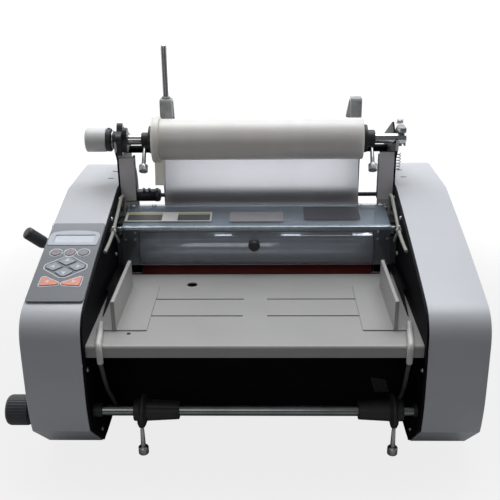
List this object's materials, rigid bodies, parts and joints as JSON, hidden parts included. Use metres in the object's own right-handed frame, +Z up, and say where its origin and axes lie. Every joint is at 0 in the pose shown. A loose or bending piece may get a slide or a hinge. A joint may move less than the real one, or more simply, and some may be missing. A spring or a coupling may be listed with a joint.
{
  "type": "roll laminator",
  "caption": "Desktop roll laminator with two painted housings, feed table, heated roller pair, clear shield, film roll on a braked top shaft and a second shaft in front.",
  "frame": {"origin": "centre of the machine's own bounding box in plan, on the desk under the feet", "axes": "+X to the operator's right along the rollers, +Y away from the operator along the film's travel, +Z up"},
  "size_m": [0.6512, 0.5058, 0.536],
  "materials": {
    "housing_paint": "light warm grey powder coat, fine texture",
    "black_steel": "black powder-coated sheet steel",
    "table_paint": "cream-grey powder coat, smooth",
    "black_block": "black moulded, matt",
    "black_hub": "black moulded nylon, matt",
    "grey_casting": "grey cast metal, fine grain",
    "cable_sheath": "grey PVC sheath",
    "white_sleeve": "milky white plastic sleeve",
    "inlet_plastic": "black moulded",
    "switch_rocker": "black glossy rocker",
    "foot_rubber": "black rubber",
    "panel_overlay": "dark grey printed overlay, satin",
    "key_grey": "grey-blue membrane key",
    "key_orange": "orange membrane key",
    "roller_chrome": "hard chrome, ground",
    "red_silicone": "dark red silicone rubber",
    "pull_rubber": "black rubber covering",
    "gear_nylon": "natural nylon",
    "motor_casing": "dark grey gearmotor casing",
    "bar_chrome": "chromed steel bar",
    "grip_plastic": "black moulded grip",
    "film_roll": "cream wound film, soft sheen",
    "knob_grey": "light grey moulded knob",
    "knob_dark": "dark grey ribbed knob",
    "black_bar": "blackened steel bar",
    "clear_acrylic": "clear bent acrylic sheet",
    "film_web": "milky translucent laminating film"
  },
  "bodies": {
    "frame": {"left_cover": "housing_paint", "left_side_plate": "black_steel", "left_heater_lead": "cable_sheath", "left_table_sleeve": "white_sleeve", "right_cover": "housing_paint", "right_side_plate": "black_steel", "right_heater_lead": "cable_sheath", "right_table_sleeve": "white_sleeve", "base_pan": "black_steel", "rear_panel": "black_steel", "power_inlet": "inlet_plastic", "foot_front_left": "foot_rubber", "foot_front_right": "foot_rubber", "foot_rear_left": "foot_rubber", "foot_rear_right": "foot_rubber", "control_panel": "panel_overlay", "feed_table": "table_paint", "drive_motor": "motor_casing", "film_web": "film_web", "rear_cross_bar": "black_bar", "blower_motor": "black_block"},
    "left_guide": {"left_side_guide": "table_paint"},
    "right_guide": {"right_side_guide": "table_paint"},
    "roller_carriage": {"left_bearing_block": "black_block", "right_bearing_block": "black_block"},
    "upper_roller": {"upper_roller": "roller_chrome"},
    "lower_roller": {"lower_roller": "red_silicone"},
    "idler_gear": {"idler_gear": "gear_nylon"},
    "lower_pull_roller": {"lower_pull_roller": "pull_rubber"},
    "pressure_lever": {"pressure_shaft": "bar_chrome", "pressure_grip": "grip_plastic"},
    "shield": {"shield": "clear_acrylic", "shield_knob": "black_hub", "shield_rod": "bar_chrome"},
    "film_supply": {"supply_shaft": "bar_chrome", "film_roll": "film_roll", "left_supply_chuck": "black_hub", "right_supply_chuck": "black_hub", "brake_star": "black_hub"},
    "brake_knob": {"brake_knob": "knob_grey"},
    "shaft_latch": {"shaft_latch": "grey_casting"},
    "pull_arms": {"left_pull_arm": "grey_casting", "right_pull_arm": "grey_casting", "lift_shaft": "bar_chrome"},
    "upper_pull_roller": {"upper_pull_roller": "pull_rubber"},
    "blower_rotor": {"blower_rotor": "black_block"},
    "second_shaft": {"bottom_shaft": "bar_chrome", "left_cone_chuck": "black_hub", "right_cone_chuck": "black_hub", "bottom_knob": "knob_dark"},
    "power_switch": {"power_switch": "switch_rocker"},
    "round_key_left": {"round_key_left": "key_grey"},
    "round_key_middle": {"round_key_middle": "key_grey"},
    "round_key_right": {"round_key_right": "key_grey"},
    "arrow_key_up": {"arrow_key_up": "key_grey"},
    "arrow_key_down": {"arrow_key_down": "key_grey"},
    "arrow_key_left": {"arrow_key_left": "key_grey"},
    "arrow_key_right": {"arrow_key_right": "key_grey"},
    "stop_key": {"stop_key": "key_orange"},
    "start_key": {"start_key": "key_orange"}
  },
  "joints": [
    {"name": "round_key_left_press", "type": "slide", "parent": "frame", "child": "round_key_left", "axis": [0, 0.2571, -0.9664], "range_m": [0, 0.0005], "stiffness_N_per_m": 400, "springref_m": -0.0003},
    {"name": "round_key_middle_press", "type": "slide", "parent": "frame", "child": "round_key_middle", "axis": [0, 0.2571, -0.9664], "range_m": [0, 0.0005], "stiffness_N_per_m": 400, "springref_m": -0.0003},
    {"name": "round_key_right_press", "type": "slide", "parent": "frame", "child": "round_key_right", "axis": [0, 0.2571, -0.9664], "range_m": [0, 0.0005], "stiffness_N_per_m": 400, "springref_m": -0.0003},
    {"name": "arrow_key_up_press", "type": "slide", "parent": "frame", "child": "arrow_key_up", "axis": [0, 0.2571, -0.9664], "range_m": [0, 0.0005], "stiffness_N_per_m": 400, "springref_m": -0.0003},
    {"name": "arrow_key_down_press", "type": "slide", "parent": "frame", "child": "arrow_key_down", "axis": [0, 0.2571, -0.9664], "range_m": [0, 0.0005], "stiffness_N_per_m": 400, "springref_m": -0.0003},
    {"name": "arrow_key_left_press", "type": "slide", "parent": "frame", "child": "arrow_key_left", "axis": [0, 0.2571, -0.9664], "range_m": [0, 0.0005], "stiffness_N_per_m": 400, "springref_m": -0.0003},
    {"name": "arrow_key_right_press", "type": "slide", "parent": "frame", "child": "arrow_key_right", "axis": [0, 0.2571, -0.9664], "range_m": [0, 0.0005], "stiffness_N_per_m": 400, "springref_m": -0.0003},
    {"name": "stop_key_press", "type": "slide", "parent": "frame", "child": "stop_key", "axis": [0, 0.2571, -0.9664], "range_m": [0, 0.0005], "stiffness_N_per_m": 400, "springref_m": -0.0003},
    {"name": "start_key_press", "type": "slide", "parent": "frame", "child": "start_key", "axis": [0, 0.2571, -0.9664], "range_m": [0, 0.0005], "stiffness_N_per_m": 400, "springref_m": -0.0003},
    {"name": "left_guide_slide", "type": "slide", "parent": "frame", "child": "left_guide", "axis": [1, 0, 0], "range_m": [0, 0.11]},
    {"name": "right_guide_slide", "type": "slide", "parent": "frame", "child": "right_guide", "axis": [-1, 0, 0], "range_m": [0, 0.11]},
    {"name": "lower_roller_spin", "type": "hinge", "parent": "frame", "child": "lower_roller", "pos_m": [0.02058, 0.04085, 0.1744], "axis": [1, 0, 0], "continuous": true},
    {"name": "roller_lift", "type": "slide", "parent": "frame", "child": "roller_carriage", "axis": [0, 0, 1], "range_m": [0, 0.0025]},
    {"name": "upper_roller_spin", "type": "hinge", "parent": "roller_carriage", "child": "upper_roller", "pos_m": [0.02058, 0.04085, 0.2316], "axis": [1, 0, 0], "continuous": true},
    {"name": "idler_spin", "type": "hinge", "parent": "frame", "child": "idler_gear", "pos_m": [0.02058, 0.1101, 0.1798], "axis": [1, 0, 0], "continuous": true},
    {"name": "lower_pull_spin", "type": "hinge", "parent": "frame", "child": "lower_pull_roller", "pos_m": [0.02058, 0.16917, 0.1844], "axis": [1, 0, 0], "continuous": true},
    {"name": "pressure_turn", "type": "hinge", "parent": "frame", "child": "pressure_lever", "pos_m": [0.02058, 0.01885, 0.268], "axis": [-1, 0, 0], "range_deg": [0, 80]},
    {"name": "shield_swing", "type": "hinge", "parent": "frame", "child": "shield", "pos_m": [0.02058, 0.07885, 0.2822], "axis": [-1, 0, 0], "range_deg": [0, 55]},
    {"name": "supply_spin", "type": "hinge", "parent": "frame", "child": "film_supply", "pos_m": [0.02058, 0.08485, 0.397], "axis": [1, 0, 0], "continuous": true},
    {"name": "brake_turn", "type": "hinge", "parent": "frame", "child": "brake_knob", "pos_m": [0.02058, 0.08485, 0.397], "axis": [1, 0, 0], "range_deg": [-170, 170]},
    {"name": "latch_swing", "type": "hinge", "parent": "frame", "child": "shaft_latch", "pos_m": [0.02058, 0.11285, 0.385], "axis": [-1, 0, 0], "range_deg": [0, 70]},
    {"name": "pull_arm_swing", "type": "hinge", "parent": "frame", "child": "pull_arms", "pos_m": [0.02058, 0.16917, 0.36], "axis": [-1, 0, 0], "range_deg": [0, 5]},
    {"name": "upper_pull_spin", "type": "hinge", "parent": "pull_arms", "child": "upper_pull_roller", "pos_m": [0.02058, 0.16917, 0.2216], "axis": [1, 0, 0], "continuous": true},
    {"name": "blower_spin", "type": "hinge", "parent": "frame", "child": "blower_rotor", "pos_m": [0.02058, 0.12285, 0.292], "axis": [1, 0, 0], "continuous": true},
    {"name": "second_shaft_spin", "type": "hinge", "parent": "frame", "child": "second_shaft", "pos_m": [0.02058, -0.22715, 0.094], "axis": [1, 0, 0], "continuous": true},
    {"name": "switch_rock", "type": "hinge", "parent": "frame", "child": "power_switch", "pos_m": [0.14358, 0.24485, 0.065], "axis": [1, 0, 0], "range_deg": [-9, 0]}
  ],
  "couplings": [
    {"joint": "upper_roller_spin", "follows": "lower_roller_spin", "ratio": -1},
    {"joint": "idler_spin", "follows": "lower_roller_spin", "ratio": -0.7},
    {"joint": "lower_pull_spin", "follows": "lower_roller_spin", "ratio": 1.5556},
    {"joint": "upper_pull_spin", "follows": "lower_roller_spin", "ratio": -1.5556},
    {"joint": "pressure_turn", "follows": "roller_lift", "rad_per_m": 558.51}
  ]
}
